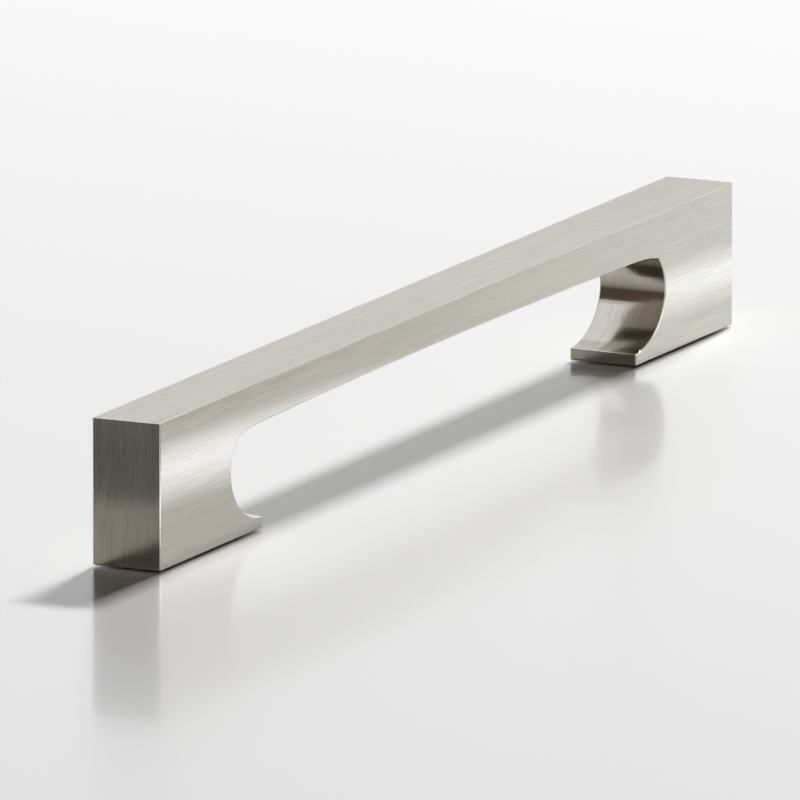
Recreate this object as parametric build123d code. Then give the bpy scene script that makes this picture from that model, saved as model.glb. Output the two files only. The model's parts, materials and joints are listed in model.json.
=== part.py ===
from build123d import *
import math
import os

# Cabinet pull, one solid metal piece: a straight bar on two feet that are scooped out towards each other.
# X runs along the bar, Y across it, and Z out from the drawer front that the feet are screwed to.
# The origin lies on the mounting plane, midway between the two screw holes. Sizes are in millimetres.

# Overall sizes
HOLE_SPACING = 203.2        # between the centres of the two screw holes
HOLE_TO_END = 12.7          # from a hole's centre to the end face beside it
WIDTH = 12.7                # across the bar and the feet
PROJECTION = 25.4           # from the mounting plane to the top face

# Bar, with a shallow arch underneath that turns down into a haunch at each end
BAR_THICKNESS = 6.35        # at mid-length, where the underside is highest
ARCH_RISE = 0.75            # from the haunches up to the middle of the underside
HAUNCH_LENGTH = 8.0         # along X, from the arch to the scoop
HAUNCH_DROP = 0.95          # from the end of the arch down to the scoop

# Feet
POST_LENGTH = 27.5          # from the end face to the deepest point of the scoop
TOE_LENGTH = 12.1           # from the deepest point of the scoop to the toe's tip
TOE_THICKNESS = 2.1         # under the lowest point of the scoop
SCOOP_HALF_LENGTH = 13.1    # half-axis of the scoop's ellipse along X
SCOOP_HEADROOM = 4.5        # from the top face down to the crest of the scoop's ellipse

# Edges
EDGE_ROUND = 0.25           # radius on every outside edge
CREASE_ROUND = 0.8          # radius in the crease between a scoop and its haunch

# Screw holes, tapped from the mounting plane
THREAD_DIAMETER = 4.166     # outside diameter of the thread
THREAD_DEPTH = 12.7         # full diameter, measured from the mounting plane
DRILL_POINT_ANGLE = 118.0   # degrees, whole angle of the cone at the blind end
MOUTH_CHAMFER = 0.5         # 45 degree break around the mouth

LENGTH = HOLE_SPACING + 2 * HOLE_TO_END

# The scoop is part of an ellipse that stands on the toe and would close inside the bar.
scoop_half_height = (PROJECTION - SCOOP_HEADROOM - TOE_THICKNESS) / 2
scoop_x = LENGTH / 2 - POST_LENGTH - SCOOP_HALF_LENGTH
scoop_z = TOE_THICKNESS + scoop_half_height

# Heights of the underside at mid-length, where the haunches start, and where they meet the scoops.
crown_z = PROJECTION - BAR_THICKNESS
haunch_z = crown_z - ARCH_RISE
crease_z = haunch_z - HAUNCH_DROP


def finger_opening() -> Sketch:
    """Outline of the space between the feet, drawn on the back face and facing the front."""
    toe_angle = -math.degrees(math.acos((SCOOP_HALF_LENGTH - TOE_LENGTH) / SCOOP_HALF_LENGTH))
    crease_angle = math.degrees(math.asin((crease_z - scoop_z) / scoop_half_height))
    with BuildSketch(Plane.XZ.offset(-WIDTH / 2)) as opening:
        with BuildLine():
            scoop = EllipticalCenterArc(
                (scoop_x, scoop_z),
                SCOOP_HALF_LENGTH,
                scoop_half_height,
                start_angle=toe_angle,
                arc_size=crease_angle - toe_angle,
            )
            toe_top = scoop @ 0
            crease = scoop @ 1
            haunch_x = crease.X - HAUNCH_LENGTH
            arch = ThreePointArc(
                (-haunch_x, haunch_z), (0, crown_z), (haunch_x, haunch_z), mode=Mode.PRIVATE
            )
            Polyline((0, 0), (toe_top.X, 0), toe_top)
            TangentArc(arch @ 1, crease, tangent=arch % 1)
            mirror(about=Plane.YZ)
            add(arch)
        make_face()
    return opening.sketch


def screw_hole() -> Part:
    """Blind tapped hole, opening downwards at the origin, with a drill point and a broken mouth."""
    radius = THREAD_DIAMETER / 2
    mouth_radius = radius + MOUTH_CHAMFER
    point_depth = THREAD_DEPTH + radius / math.tan(math.radians(DRILL_POINT_ANGLE / 2))
    with BuildPart() as hole:
        with BuildSketch(Plane.XZ):
            Polygon(
                (0, 0),
                (mouth_radius, 0),
                (radius, MOUTH_CHAMFER),
                (radius, THREAD_DEPTH),
                (0, point_depth),
                align=None,
            )
        revolve(axis=Axis.Z)
    return hole.part


def pull_body() -> Part:
    """The whole pull: a block with the finger opening cut through it, its edges rounded, then drilled."""
    with BuildPart() as body:
        Box(LENGTH, WIDTH, PROJECTION, align=(Align.CENTER, Align.CENTER, Align.MIN))
        extrude(finger_opening(), amount=WIDTH, mode=Mode.SUBTRACT)
        roof_edges = body.edges().filter_by(Axis.Y).filter_by_position(Axis.Z, scoop_z, crown_z)
        creases = roof_edges.group_by(Axis.Z)[0]
        fillet(creases, CREASE_ROUND)
        # Outside edges: both side outlines, and the edges across the end faces and the toes.
        across = body.edges().filter_by(Axis.Y)
        across -= across.filter_by_position(Axis.Z, scoop_z, crown_z)
        outlines = body.faces().filter_by(Axis.Y).edges()
        fillet(outlines + across, EDGE_ROUND)
        with Locations((-HOLE_SPACING / 2, 0), (HOLE_SPACING / 2, 0)):
            add(screw_hole(), mode=Mode.SUBTRACT)
    return body.part


os.makedirs("parts", exist_ok=True)
export_step(pull_body(), "parts/pull_body.step")
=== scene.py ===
"""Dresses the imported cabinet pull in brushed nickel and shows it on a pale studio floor."""

import json
import logging
import math
from dataclasses import dataclass
from enum import Enum
from typing import Any, Protocol

import bmesh
import bpy
from mathutils import Matrix, Vector


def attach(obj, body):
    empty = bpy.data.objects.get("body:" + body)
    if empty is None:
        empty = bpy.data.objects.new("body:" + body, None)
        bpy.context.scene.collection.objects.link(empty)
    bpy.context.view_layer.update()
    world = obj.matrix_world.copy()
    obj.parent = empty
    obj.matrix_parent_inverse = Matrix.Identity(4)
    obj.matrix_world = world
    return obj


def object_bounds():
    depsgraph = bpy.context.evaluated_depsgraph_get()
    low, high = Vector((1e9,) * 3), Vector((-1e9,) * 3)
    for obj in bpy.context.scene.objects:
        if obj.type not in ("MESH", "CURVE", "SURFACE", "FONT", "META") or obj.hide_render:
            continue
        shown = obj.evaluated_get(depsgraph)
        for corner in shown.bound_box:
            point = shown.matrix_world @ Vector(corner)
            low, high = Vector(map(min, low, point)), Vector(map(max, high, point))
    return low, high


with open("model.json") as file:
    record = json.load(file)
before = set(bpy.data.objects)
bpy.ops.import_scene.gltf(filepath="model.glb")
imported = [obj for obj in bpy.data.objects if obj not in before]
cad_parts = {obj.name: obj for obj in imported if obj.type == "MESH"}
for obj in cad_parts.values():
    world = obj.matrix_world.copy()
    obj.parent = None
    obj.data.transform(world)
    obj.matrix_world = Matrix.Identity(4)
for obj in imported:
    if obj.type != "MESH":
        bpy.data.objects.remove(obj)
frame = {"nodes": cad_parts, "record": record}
cad_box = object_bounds()

log = logging.getLogger("cabinet_pull")

MM = 0.001
PULL = "pull_body"
BODY = "root"
UP = Vector((0.0, 0.0, 1.0))

Colour = tuple[float, float, float]
Place = tuple[float, float, float]

WHITE: Colour = (1.0, 1.0, 1.0)
COOL_WHITE: Colour = (0.77, 0.84, 1.0)


class Foot(Enum):
    """The two feet of the pull, with the side of the middle that each stands on."""

    LEFT = -1
    RIGHT = 1


class Ray(Enum):
    """Kinds of ray that a light or a card in the studio may be hidden from."""

    CAMERA = "visible_camera"
    DIFFUSE = "visible_diffuse"
    SHADOW = "visible_shadow"
    TRANSMISSION = "visible_transmission"


def rgba(colour: Colour) -> tuple[float, float, float, float]:
    """Gives a colour the alpha channel that node sockets ask for."""
    return (*colour, 1.0)


def mesh_object(name: str, shape: bmesh.types.BMesh) -> bpy.types.Object:
    """Turns a finished bmesh into an object in the scene, at the origin.

    Args:
        name: Name of the object and of its mesh.
        shape: The finished bmesh, which is freed.

    Returns:
        The new object.
    """
    mesh = bpy.data.meshes.new(name)
    shape.to_mesh(mesh)
    shape.free()
    piece = bpy.data.objects.new(name, mesh)
    bpy.context.scene.collection.objects.link(piece)
    return piece


class NodeSheet:
    """Adds nodes to one node tree and links them as they are added."""

    def __init__(self, tree: bpy.types.NodeTree) -> None:
        """Starts on a tree, which is emptied."""
        self.tree = tree
        tree.nodes.clear()

    def add(
        self,
        kind: str,
        inputs: dict[str | int, Any] | None = None,
        **settings: Any,
    ) -> bpy.types.Node:
        """Adds a node, sets it up and feeds its inputs.

        Args:
            kind: The node's type, such as ShaderNodeMath.
            inputs: Values or output sockets, by the name or number of the input that takes them.
            **settings: Properties of the node itself, such as operation.

        Returns:
            The new node.
        """
        node = self.tree.nodes.new(kind)
        for name, value in settings.items():
            setattr(node, name, value)
        for name, value in (inputs or {}).items():
            if isinstance(value, bpy.types.NodeSocket):
                self.tree.links.new(value, node.inputs[name])
            else:
                node.inputs[name].default_value = value
        return node

    def math(self, operation: str, first: Any, second: Any = 0.0) -> bpy.types.NodeSocket:
        """Adds a Math node.

        Args:
            operation: What it does, such as MULTIPLY.
            first: Value or socket for its first input.
            second: Value or socket for its second input.

        Returns:
            The node's output.
        """
        return self.add("ShaderNodeMath", {0: first, 1: second}, operation=operation).outputs[0]

    def float_mix(self, factor: Any, first: Any, second: Any) -> bpy.types.NodeSocket:
        """Mixes two values.

        Args:
            factor: Value or socket that goes from 0, all first, to 1, all second.
            first: Value or socket.
            second: Value or socket.

        Returns:
            The mixed value.
        """
        float_a, float_b, float_result = 2, 3, 0
        inputs = {0: factor, float_a: first, float_b: second}
        return self.add("ShaderNodeMix", inputs).outputs[float_result]

    def vector_mix(self, factor: Any, first: Any, second: Any) -> bpy.types.NodeSocket:
        """Mixes two vectors.

        Args:
            factor: Value or socket that goes from 0, all first, to 1, all second.
            first: Vector or socket.
            second: Vector or socket.

        Returns:
            The mixed vector.
        """
        vector_a, vector_b, vector_result = 4, 5, 1
        inputs = {0: factor, vector_a: first, vector_b: second}
        return self.add("ShaderNodeMix", inputs, data_type="VECTOR").outputs[vector_result]

    def map_range(self, value: bpy.types.NodeSocket, low: float, high: float) -> bpy.types.NodeSocket:
        """Maps a value that runs from 0 to 1 onto another range.

        Args:
            value: The socket with the value.
            low: What 0 becomes.
            high: What 1 becomes.

        Returns:
            The mapped value.
        """
        inputs = {"Value": value, "To Min": low, "To Max": high}
        return self.add("ShaderNodeMapRange", inputs).outputs["Result"]


class BrushLines:
    """Node group with the fine parallel lines that a belt leaves in metal.

    The lines run along the bar on the sides, and along the profile of the pull on all other faces, where
    they are shorter the more upright the face stands.
    """

    NAME = "brush lines"
    UPRIGHT_SHORTER = 3.0
    DETAIL = 3.0
    DETAIL_STRENGTH = 0.6

    @classmethod
    def group(cls) -> bpy.types.NodeTree:
        """Gives the group, which is built the first time that it is asked for.

        Returns:
            The node group, with the height of the lines as its output, from 0 to 1.
        """
        made = bpy.data.node_groups.get(cls.NAME)
        if made:
            return made
        tree = bpy.data.node_groups.new(cls.NAME, "ShaderNodeTree")
        sheet = NodeSheet(tree)
        for name, kind in (
            ("Coordinates", "NodeSocketVector"),
            ("Side Face", "NodeSocketFloat"),
            ("Line Length", "NodeSocketFloat"),
            ("Line Width", "NodeSocketFloat"),
        ):
            tree.interface.new_socket(name, in_out="INPUT", socket_type=kind)
        tree.interface.new_socket("Lines", in_out="OUTPUT", socket_type="NodeSocketFloat")
        given = sheet.add("NodeGroupInput").outputs
        along = sheet.math("DIVIDE", 1.0, given["Line Length"])
        across = sheet.math("DIVIDE", 1.0, given["Line Width"])
        upright = sheet.math("MULTIPLY", along, cls.UPRIGHT_SHORTER)
        on_profile = sheet.add("ShaderNodeCombineXYZ", {"X": along, "Y": across, "Z": upright})
        on_side = sheet.add("ShaderNodeCombineXYZ", {"X": along, "Y": across, "Z": across})
        stretch = sheet.vector_mix(given["Side Face"], on_profile.outputs[0], on_side.outputs[0])
        drawn_out = sheet.add(
            "ShaderNodeVectorMath", {0: given["Coordinates"], 1: stretch}, operation="MULTIPLY"
        )
        noise = sheet.add(
            "ShaderNodeTexNoise",
            {
                "Vector": drawn_out.outputs[0],
                "Scale": 1.0,
                "Detail": cls.DETAIL,
                "Roughness": cls.DETAIL_STRENGTH,
            },
        )
        sheet.add("NodeGroupOutput", {"Lines": noise.outputs[0]})
        return tree


@dataclass(frozen=True)
class BrushedNickel:
    """Satin nickel plating over metal that was brushed with a belt.

    Fine lines and wide bands are mixed into a tone from 0 to 1, which sets the colour and the gloss.
    """

    name: str = "brushed nickel"
    groove_colour: Colour = (0.352, 0.329, 0.281)
    ridge_colour: Colour = (0.514, 0.481, 0.41)
    groove_tone: float = 0.3
    middle_tone: float = 0.5
    ridge_tone: float = 0.7
    smoothest: float = 0.12
    roughest: float = 0.2
    anisotropy: float = 0.6
    line_width: float = 0.13 * MM
    line_length: float = 12 * MM
    line_depth: float = 0.0008 * MM
    line_share: float = 0.75
    band_width: float = 1.6 * MM
    band_length: float = 70 * MM
    end_contrast: float = 1.45
    end_depth: float = 0.3 * MM

    def material(self) -> bpy.types.Material:
        """Builds the material.

        Returns:
            A metal whose lines change its colour, its gloss and its surface.
        """
        metal = bpy.data.materials.new(self.name)
        metal.use_nodes = True
        sheet = NodeSheet(metal.node_tree)
        given = sheet.add("ShaderNodeTexCoord").outputs
        place = given["Object"]
        side_face = self.side_face(sheet, given["Normal"])
        lines = self.lines(sheet, place, side_face, self.line_length, self.line_width)
        bands = self.lines(sheet, place, side_face, self.band_length, self.band_width)
        tone = self.tone(sheet, place, lines, bands)
        bump = sheet.add(
            "ShaderNodeBump", {"Strength": 1.0, "Distance": self.line_depth, "Height": lines}
        )
        across_profile = (0.0, 1.0, 0.0)
        across_side = (0.0, 0.0, 1.0)
        shader = sheet.add(
            "ShaderNodeBsdfPrincipled",
            {
                "Base Color": self.colour(sheet, tone),
                "Metallic": 1.0,
                "Roughness": sheet.map_range(tone, self.smoothest, self.roughest),
                "Anisotropic": self.anisotropy,
                "Tangent": sheet.vector_mix(side_face, across_profile, across_side),
                "Normal": bump.outputs["Normal"],
            },
        )
        sheet.add("ShaderNodeOutputMaterial", {"Surface": shader.outputs["BSDF"]})
        return metal

    def side_face(self, sheet: NodeSheet, normal: bpy.types.NodeSocket) -> bpy.types.NodeSocket:
        """Tells the two long sides from the other faces.

        Args:
            sheet: The material's nodes.
            normal: The surface's normal, along the object's axes.

        Returns:
            A mask that is 1 on the sides, up to the middle of their rounded edges.
        """
        facing = sheet.add("ShaderNodeSeparateXYZ", {0: normal}).outputs
        sideways = sheet.math("ABSOLUTE", facing["Y"])
        return sheet.math("GREATER_THAN", sideways, math.cos(math.radians(45)))

    def lines(
        self,
        sheet: NodeSheet,
        place: bpy.types.NodeSocket,
        side_face: bpy.types.NodeSocket,
        length: float,
        width: float,
    ) -> bpy.types.NodeSocket:
        """Adds one set of brush lines.

        Args:
            sheet: The material's nodes.
            place: Object coordinates.
            side_face: Mask that is 1 on the two long sides.
            length: How far a line runs before it fades into another.
            width: How wide a line is.

        Returns:
            The height of the lines, from 0 to 1.
        """
        inputs = {
            "Coordinates": place,
            "Side Face": side_face,
            "Line Length": length,
            "Line Width": width,
        }
        return sheet.add("ShaderNodeGroup", inputs, node_tree=BrushLines.group()).outputs["Lines"]

    def tone(
        self,
        sheet: NodeSheet,
        place: bpy.types.NodeSocket,
        lines: bpy.types.NodeSocket,
        bands: bpy.types.NodeSocket,
    ) -> bpy.types.NodeSocket:
        """Mixes lines and bands, with more contrast on the two end faces.

        Args:
            sheet: The material's nodes.
            place: Object coordinates.
            lines: Height of the fine lines.
            bands: Height of the wide bands.

        Returns:
            The tone of the metal, from 0 to 1.
        """
        line_part = sheet.math("MULTIPLY", lines, self.line_share)
        band_part = sheet.math("MULTIPLY", bands, 1.0 - self.line_share)
        mixed = sheet.math("ADD", line_part, band_part)
        distance = sheet.add("ShaderNodeSeparateXYZ", {0: place}).outputs["X"]
        end_plane = cad_box[1][0] - self.end_depth
        end_face = sheet.math("GREATER_THAN", sheet.math("ABSOLUTE", distance), end_plane)
        contrast = sheet.map_range(end_face, 1.0, self.end_contrast)
        spread = sheet.math("SUBTRACT", mixed, self.middle_tone)
        return sheet.math("ADD", sheet.math("MULTIPLY", spread, contrast), self.middle_tone)

    def colour(self, sheet: NodeSheet, tone: bpy.types.NodeSocket) -> bpy.types.NodeSocket:
        """Turns the tone into a colour between groove and ridge.

        Args:
            sheet: The material's nodes.
            tone: The tone of the metal.

        Returns:
            The colour of the metal.
        """
        ramp = sheet.add("ShaderNodeValToRGB", {"Fac": tone})
        groove, ridge = ramp.color_ramp.elements
        groove.position = self.groove_tone
        groove.color = rgba(self.groove_colour)
        ridge.position = self.ridge_tone
        ridge.color = rgba(self.ridge_colour)
        return ramp.outputs["Color"]


@dataclass(frozen=True)
class CutThread:
    """Metal that a tap has just cut, with the faint ripple that its teeth leave."""

    name: str = "cut thread"
    valley_colour: Colour = (0.46, 0.44, 0.39)
    crest_colour: Colour = (0.60, 0.58, 0.52)
    smoothest: float = 0.24
    roughest: float = 0.36
    ripple: float = 0.15 * MM

    def material(self) -> bpy.types.Material:
        """Builds the material.

        Returns:
            A metal that is a little rougher and darker in its ripples.
        """
        metal = bpy.data.materials.new(self.name)
        metal.use_nodes = True
        sheet = NodeSheet(metal.node_tree)
        place = sheet.add("ShaderNodeTexCoord").outputs["Object"]
        noise = sheet.add("ShaderNodeTexNoise", {"Vector": place, "Scale": 1.0 / self.ripple}).outputs[0]
        ramp = sheet.add("ShaderNodeValToRGB", {"Fac": noise})
        valley, crest = ramp.color_ramp.elements
        valley.color = rgba(self.valley_colour)
        crest.color = rgba(self.crest_colour)
        shader = sheet.add(
            "ShaderNodeBsdfPrincipled",
            {
                "Base Color": ramp.outputs["Color"],
                "Metallic": 1.0,
                "Roughness": sheet.map_range(noise, self.roughest, self.smoothest),
            },
        )
        sheet.add("ShaderNodeOutputMaterial", {"Surface": shader.outputs["BSDF"]})
        return metal


@dataclass(frozen=True)
class PaleAcrylic:
    """Pale, slightly glossy sheet that the pull stands on."""

    name: str = "pale acrylic"
    colour: Colour = (0.80, 0.80, 0.80)
    roughness: float = 0.26
    ior: float = 1.5
    polish: float = 0.58
    polish_roughness: float = 0.1

    def material(self) -> bpy.types.Material:
        """Builds the material.

        Returns:
            A pale dielectric that mirrors softly at a low angle.
        """
        acrylic = bpy.data.materials.new(self.name)
        acrylic.use_nodes = True
        sheet = NodeSheet(acrylic.node_tree)
        shader = sheet.add(
            "ShaderNodeBsdfPrincipled",
            {
                "Base Color": rgba(self.colour),
                "Roughness": self.roughness,
                "IOR": self.ior,
                "Coat Weight": self.polish,
                "Coat Roughness": self.polish_roughness,
            },
        )
        sheet.add("ShaderNodeOutputMaterial", {"Surface": shader.outputs["BSDF"]})
        return acrylic


@dataclass(frozen=True)
class DarkTone:
    """Even dark tone that needs no light, on the front of a card only."""

    name: str
    colour: Colour

    def material(self) -> bpy.types.Material:
        """Builds the material.

        Returns:
            A dull glow on the front, and nothing at all on the back.
        """
        tone = bpy.data.materials.new(self.name)
        tone.use_nodes = True
        sheet = NodeSheet(tone.node_tree)
        back = sheet.add("ShaderNodeNewGeometry").outputs["Backfacing"]
        front_side = sheet.add("ShaderNodeEmission", {"Color": rgba(self.colour)}).outputs["Emission"]
        back_side = sheet.add("ShaderNodeBsdfTransparent").outputs["BSDF"]
        one_sided = sheet.add("ShaderNodeMixShader", {0: back, 1: front_side, 2: back_side})
        sheet.add("ShaderNodeOutputMaterial", {"Surface": one_sided.outputs["Shader"]})
        return tone


@dataclass
class PullBody:
    """The pull itself, bar and feet, as the frame brings it."""

    finish: BrushedNickel

    def dress(self) -> bpy.types.Object:
        """Gives the pull its finish.

        Returns:
            The pull's object.
        """
        pull = frame["nodes"][PULL]
        metal = self.finish.material()
        for place in pull.material_slots:
            place.material = metal
        return pull


@dataclass(frozen=True)
class HolePattern:
    """Size and spacing of the two screw holes, in metres."""

    radius: float
    spacing: float

    @classmethod
    def from_record(cls) -> "HolePattern":
        """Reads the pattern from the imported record."""
        mounts = frame["record"]["mounts"]
        sizes = next(mount["dims"] for mount in mounts if mount["name"] == "screw_holes")
        return cls(radius=sizes["hole_r_mm"] * MM, spacing=sizes["spacing_x_mm"] * MM)


@dataclass
class ScrewThread:
    """Helical ridge that a tap leaves in the screw hole of one foot."""

    foot: Foot
    finish: CutThread
    holes: HolePattern
    pitch: float = 0.794 * MM
    height: float = 0.36 * MM
    root_share: float = 0.8
    crest: float = 0.12 * MM
    seat: float = 0.05 * MM
    start: float = 0.45 * MM
    turns: int = 14
    steps_per_turn: int = 28

    def build(self) -> bpy.types.Object:
        """Sweeps the ridge's section up the hole and closes its ends.

        Returns:
            The thread, attached to the root body.
        """
        axis_point = Vector((self.foot.value * self.holes.spacing / 2, 0.0, 0.0))
        root_radius = self.holes.radius + self.seat
        crest_radius = self.holes.radius - self.height
        half_root = (self.pitch * self.root_share) / 2
        half_crest = self.crest / 2
        shape = bmesh.new()
        section = [
            shape.verts.new(axis_point + Vector((radius, 0.0, self.start + half_root + lift)))
            for radius, lift in (
                (root_radius, -half_root),
                (crest_radius, -half_crest),
                (crest_radius, half_crest),
                (root_radius, half_root),
            )
        ]
        rim = [shape.edges.new((section[i - 1], section[i])) for i in range(len(section))]
        bmesh.ops.spin(
            shape,
            geom=section + rim,
            cent=axis_point,
            axis=UP,
            dvec=UP * (self.pitch / self.steps_per_turn),
            angle=self.turns * math.tau,
            steps=self.turns * self.steps_per_turn,
            use_duplicate=False,
        )
        open_ends = [edge for edge in shape.edges if edge.is_boundary]
        bmesh.ops.holes_fill(shape, edges=open_ends, sides=len(section))
        bmesh.ops.recalc_face_normals(shape, faces=shape.faces)
        thread = mesh_object(f"{self.foot.name.lower()}_screw_thread", shape)
        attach(thread, BODY)
        return thread

    def dress(self, thread: bpy.types.Object) -> None:
        """Gives the thread its finish."""
        thread.data.materials.append(self.finish.material())


class StageItem(Protocol):
    """Anything that the studio around the pull is set up from."""

    def build(self) -> bpy.types.ID:
        """Sets the item up and gives what was made."""


@dataclass
class StudioFloor:
    """Level sheet under the pull, large enough to fill any view."""

    finish: PaleAcrylic
    size: float = 8.0
    gap: float = 0.34 * MM

    def build(self) -> bpy.types.Object:
        """Lays the sheet a hair below the pull's feet, which leaves a dark line under them.

        Returns:
            The floor.
        """
        shape = bmesh.new()
        level = Matrix.Translation((0.0, 0.0, cad_box[0][2] - self.gap))
        bmesh.ops.create_grid(shape, x_segments=1, y_segments=1, size=self.size / 2, matrix=level)
        floor = mesh_object("studio_floor", shape)
        floor.data.materials.append(self.finish.material())
        return floor


@dataclass
class StudioWorld:
    """White surroundings, brightest overhead, that are seen and mirrored but give little fill light."""

    horizon: float = 0.885
    overhead: float = 1.0
    horizon_top: float = 0.2
    overhead_from: float = 0.5
    fill: float = 0.035

    def build(self) -> bpy.types.World:
        """Builds the world.

        Returns:
            The scene's world.
        """
        world = bpy.data.worlds.new("studio")
        world.use_nodes = True
        sheet = NodeSheet(world.node_tree)
        path = sheet.add("ShaderNodeLightPath").outputs
        mirrored = sheet.math("MAXIMUM", path["Is Glossy Ray"], path["Is Transmission Ray"])
        seen = sheet.math("MAXIMUM", path["Is Camera Ray"], mirrored)
        direction = sheet.add("ShaderNodeTexCoord").outputs["Generated"]
        rise = sheet.add("ShaderNodeSeparateXYZ", {0: direction}).outputs["Z"]
        backdrop = sheet.add(
            "ShaderNodeMapRange",
            {
                "Value": rise,
                "From Min": self.horizon_top,
                "From Max": self.overhead_from,
                "To Min": self.horizon,
                "To Max": self.overhead,
            },
        )
        strength = sheet.float_mix(seen, self.fill, backdrop.outputs["Result"])
        white = sheet.add("ShaderNodeBackground", {"Color": rgba(WHITE), "Strength": strength})
        sheet.add("ShaderNodeOutputWorld", {"Surface": white.outputs["Background"]})
        bpy.context.scene.world = world
        return world


@dataclass
class KeyLight:
    """Main light, high behind the far end of the pull."""

    azimuth: float = math.radians(3.1)
    elevation: float = math.radians(40.6)
    distance: float = 3.3
    width: float = 0.62
    height: float = 0.34
    power: float = 148.0

    def build(self) -> bpy.types.Object:
        """Hangs the light and turns it to the pull.

        Returns:
            The light's object.
        """
        lamp = bpy.data.lights.new("key_light", "AREA")
        lamp.shape = "ELLIPSE"
        lamp.size = self.width
        lamp.size_y = self.height
        lamp.energy = self.power
        light = bpy.data.objects.new("key_light", lamp)
        level = math.cos(self.elevation)
        towards = Vector(
            (level * math.cos(self.azimuth), level * math.sin(self.azimuth), math.sin(self.elevation))
        )
        light.rotation_euler = towards.to_track_quat("Z", "Y").to_euler()
        light.location = self.distance * towards
        light.visible_camera = False
        bpy.context.scene.collection.objects.link(light)
        return light


@dataclass
class PanelLight:
    """Rectangular studio light with an even face, held between two ends.

    Seen from above it shines to the left of the line from its first end to its last. It stands upright,
    or leans over until it shines straight down. It lights everything, or only the pieces it is given.
    """

    name: str
    first_end: Vector
    last_end: Vector
    height: float
    brightness: float
    colour: Colour
    hidden_from: tuple[Ray, ...] = (Ray.CAMERA,)
    lean: float = 0.0
    lit: list[bpy.types.Object] | None = None

    def build(self) -> bpy.types.Object:
        """Places the light.

        Returns:
            The light's object.
        """
        length = (self.last_end - self.first_end).length
        lamp = bpy.data.lights.new(self.name, "AREA")
        lamp.shape = "RECTANGLE"
        lamp.size = length
        lamp.size_y = self.height
        lamp.color = self.colour
        lamp.energy = self.brightness * math.pi * length * self.height
        light = bpy.data.objects.new(self.name, lamp)
        middle = (self.first_end + self.last_end) / 2
        light.matrix_world = Matrix.Translation(middle) @ self.turn()
        for kind in self.hidden_from:
            setattr(light, kind.value, False)
        bpy.context.scene.collection.objects.link(light)
        if self.lit:
            receivers = bpy.data.collections.new(f"lit_by_{self.name}")
            for piece in self.lit:
                receivers.objects.link(piece)
            light.light_linking.receiver_collection = receivers
        return light

    def turn(self) -> Matrix:
        """Works out how the light is turned, from its two ends and its lean."""
        lengthwise = (self.last_end - self.first_end).normalized()
        behind = lengthwise.cross(UP).normalized()
        upright = behind.cross(lengthwise)
        standing = Matrix((lengthwise, upright, behind)).transposed().to_4x4()
        return standing @ Matrix.Rotation(-self.lean, 4, "X")


@dataclass(frozen=True)
class StripLayer:
    """One strip of a stack, which reaches from the near end to a place along the bar."""

    height: float
    reach: float
    brightness: float


@dataclass
class BandStrips:
    """Stack of low strip lights beside the pull, which its side mirrors as one bright band.

    The layers fade the band towards its edges. Each hangs a little behind the last, because only one of
    several lights in one plane would count.
    """

    lit: list[bpy.types.Object]
    near_end: Place = (-180 * MM, -28.4 * MM, 9.33 * MM)
    far_end: Place = (150 * MM, -15.9 * MM, 4.4 * MM)
    layers: tuple[StripLayer, ...] = (
        StripLayer(height=10 * MM, reach=10 * MM, brightness=0.44),
        StripLayer(height=9 * MM, reach=150 * MM, brightness=0.32),
        StripLayer(height=6 * MM, reach=150 * MM, brightness=0.32),
        StripLayer(height=3 * MM, reach=150 * MM, brightness=0.32),
    )
    layer_step: float = 0.5 * MM
    colour: Colour = COOL_WHITE

    def panels(self) -> list[PanelLight]:
        """Lays out the strips, one for each layer."""
        near = Vector(self.near_end)
        far = Vector(self.far_end)
        strips = []
        for number, layer in enumerate(self.layers):
            behind = Vector((0.0, -number * self.layer_step, 0.0))
            share = (layer.reach - near.x) / (far.x - near.x)
            strip = PanelLight(
                name="strip_light",
                first_end=near + behind,
                last_end=near.lerp(far, share) + behind,
                height=layer.height,
                brightness=layer.brightness,
                colour=self.colour,
                lit=self.lit,
            )
            strips.append(strip)
        return strips


def softboxes(pieces: list[bpy.types.Object]) -> list[PanelLight]:
    """Lays out the lights that the pull's faces and edges mirror.

    Args:
        pieces: The pull's pieces, the only objects that the front and edge lights shine on.

    Returns:
        The lights, not yet built.
    """
    mirrored_only = (Ray.CAMERA, Ray.DIFFUSE)
    side_softbox = PanelLight(
        name="side_softbox",
        first_end=Vector((1.27, -0.599, 0.27)),
        last_end=Vector((1.526, -0.062, 0.27)),
        height=0.5,
        brightness=1.35,
        colour=(0.78, 0.86, 1.0),
        hidden_from=mirrored_only,
    )
    overhead_softbox = PanelLight(
        name="overhead_softbox",
        first_end=Vector((-1.2, 0.7, 1.2)),
        last_end=Vector((1.2, 0.7, 1.2)),
        height=2.0,
        brightness=0.5,
        colour=(0.74, 0.74, 1.0),
        hidden_from=mirrored_only,
        lean=math.radians(90),
    )
    front_softbox = PanelLight(
        name="front_softbox",
        first_end=Vector((-0.45, -1.0, 0.7)),
        last_end=Vector((0.75, -1.0, 0.7)),
        height=1.2,
        brightness=2.1,
        colour=COOL_WHITE,
        hidden_from=mirrored_only,
        lit=pieces,
    )
    edge_light = PanelLight(
        name="edge_light",
        first_end=Vector((-128 * MM, -16 * MM, 5.5 * MM)),
        last_end=Vector((-113 * MM, -23 * MM, 5.5 * MM)),
        height=9 * MM,
        brightness=1.6,
        colour=COOL_WHITE,
        lit=pieces,
    )
    return [side_softbox, overhead_softbox, front_softbox, edge_light]


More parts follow.
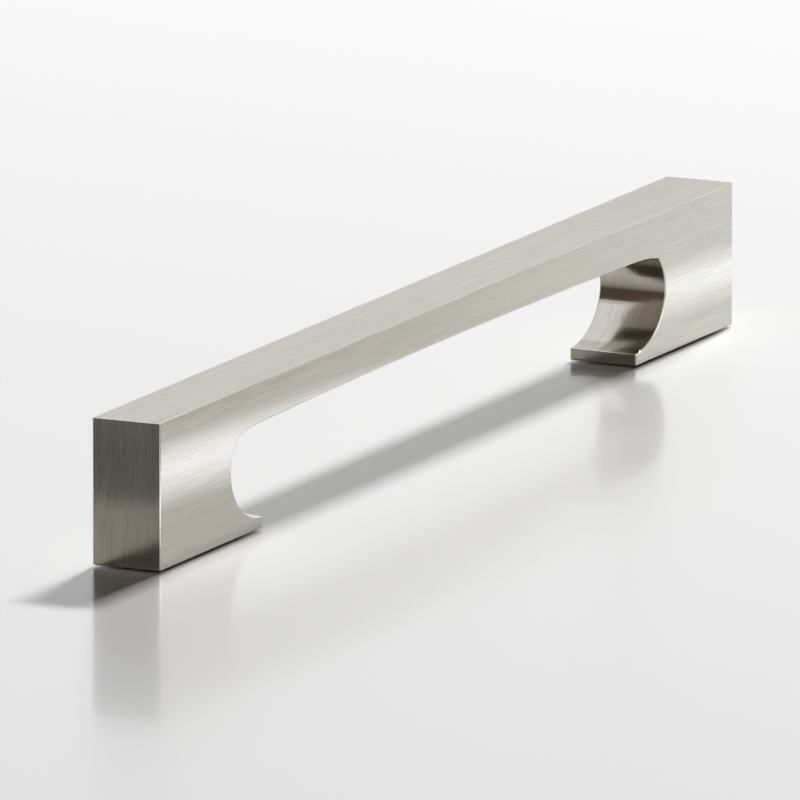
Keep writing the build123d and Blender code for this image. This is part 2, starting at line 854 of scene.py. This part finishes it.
@dataclass
class DarkCard:
    """Dark panel outside the view that only reflections show, and that is clear from its back."""

    name: str
    corner: Vector
    one_side: Vector
    other_side: Vector
    colour: Colour

    def build(self) -> bpy.types.Object:
        """Spans the panel from its corner along two of its sides.

        Returns:
            The card.
        """
        shape = bmesh.new()
        rim = (Vector(), self.one_side, self.one_side + self.other_side, self.other_side)
        shape.faces.new([shape.verts.new(self.corner + step) for step in rim])
        card = mesh_object(self.name, shape)
        card.data.materials.append(DarkTone(self.name, self.colour).material())
        for kind in Ray:
            setattr(card, kind.value, False)
        return card


def dark_cards() -> list[DarkCard]:
    """Lays out the cards that darken the near end face and a band across the far scoop. One is painted
    shadow: a sheet on the floor beyond the near end that glows an even grey in place of floor in shade,
    which the end face mirrors.

    Returns:
        The cards, not yet built.
    """
    # Painted shadow: a flat sheet glowing an even grey on the floor beyond the near end, in place of
    # floor in shade, for the near end face to mirror.
    painted_floor_shadow = DarkCard(
        name="painted_floor_shadow",
        corner=Vector((-0.238, 0.0, 0.0)),
        one_side=Vector((0.076, 0.0, 0.0)),
        other_side=Vector((0.0, 0.15, 0.0)),
        colour=(0.185, 0.185, 0.185),
    )
    dark_wall = DarkCard(
        name="dark_wall",
        corner=Vector((-0.5, 0.02, 0.0)),
        one_side=Vector((0.0, 0.43, 0.0)),
        other_side=Vector((0.0, 0.0, 0.405)),
        colour=(0.112, 0.082, 0.064),
    )
    return [painted_floor_shadow, dark_wall]


@dataclass
class PhotoCamera:
    """Camera at the photograph's angle, far away behind a long lens."""

    azimuth: float = math.radians(-64.526)
    elevation: float = math.radians(11.743)
    distance: float = 5500 * MM
    lens: float = 1443.09
    aim_right: float = -3.117 * MM
    aim_up: float = 7.322 * MM

    def build(self) -> bpy.types.Object:
        """Places the camera and makes it the scene's own.

        Returns:
            The camera's object.
        """
        level = math.cos(self.elevation)
        back = Vector(
            (level * math.sin(self.azimuth), -level * math.cos(self.azimuth), math.sin(self.elevation))
        )
        right = Vector((math.cos(self.azimuth), math.sin(self.azimuth), 0.0))
        up = back.cross(right)
        lens = bpy.data.cameras.new("photo_camera")
        lens.lens = self.lens
        camera = bpy.data.objects.new("photo_camera", lens)
        spot = self.aim_right * right + self.aim_up * up + self.distance * back
        camera.matrix_world = Matrix.Translation(spot) @ Matrix((right, up, back)).transposed().to_4x4()
        bpy.context.scene.collection.objects.link(camera)
        bpy.context.scene.camera = camera
        return camera


def main() -> None:
    """Builds the pull's pieces and then the studio around them."""
    logging.basicConfig(level=logging.INFO, format="%(name)s: %(message)s")
    bpy.context.scene.view_settings.view_transform = "Standard"
    pull = PullBody(BrushedNickel()).dress()
    log.info("dressed %s", pull.name)
    pieces = [pull]
    holes = HolePattern.from_record()
    for foot in Foot:
        thread = ScrewThread(foot, CutThread(), holes)
        piece = thread.build()
        thread.dress(piece)
        pieces.append(piece)
        log.info("built %s with %d faces", piece.name, len(piece.data.polygons))
    studio: list[StageItem] = [
        *BandStrips(pieces).panels(),
        StudioFloor(PaleAcrylic()),
        StudioWorld(),
        KeyLight(),
        *softboxes(pieces),
        *dark_cards(),
        PhotoCamera(),
    ]
    for item in studio:
        made = item.build()
        log.info("set up %s", made.name)


if __name__ == "__main__":
    main()
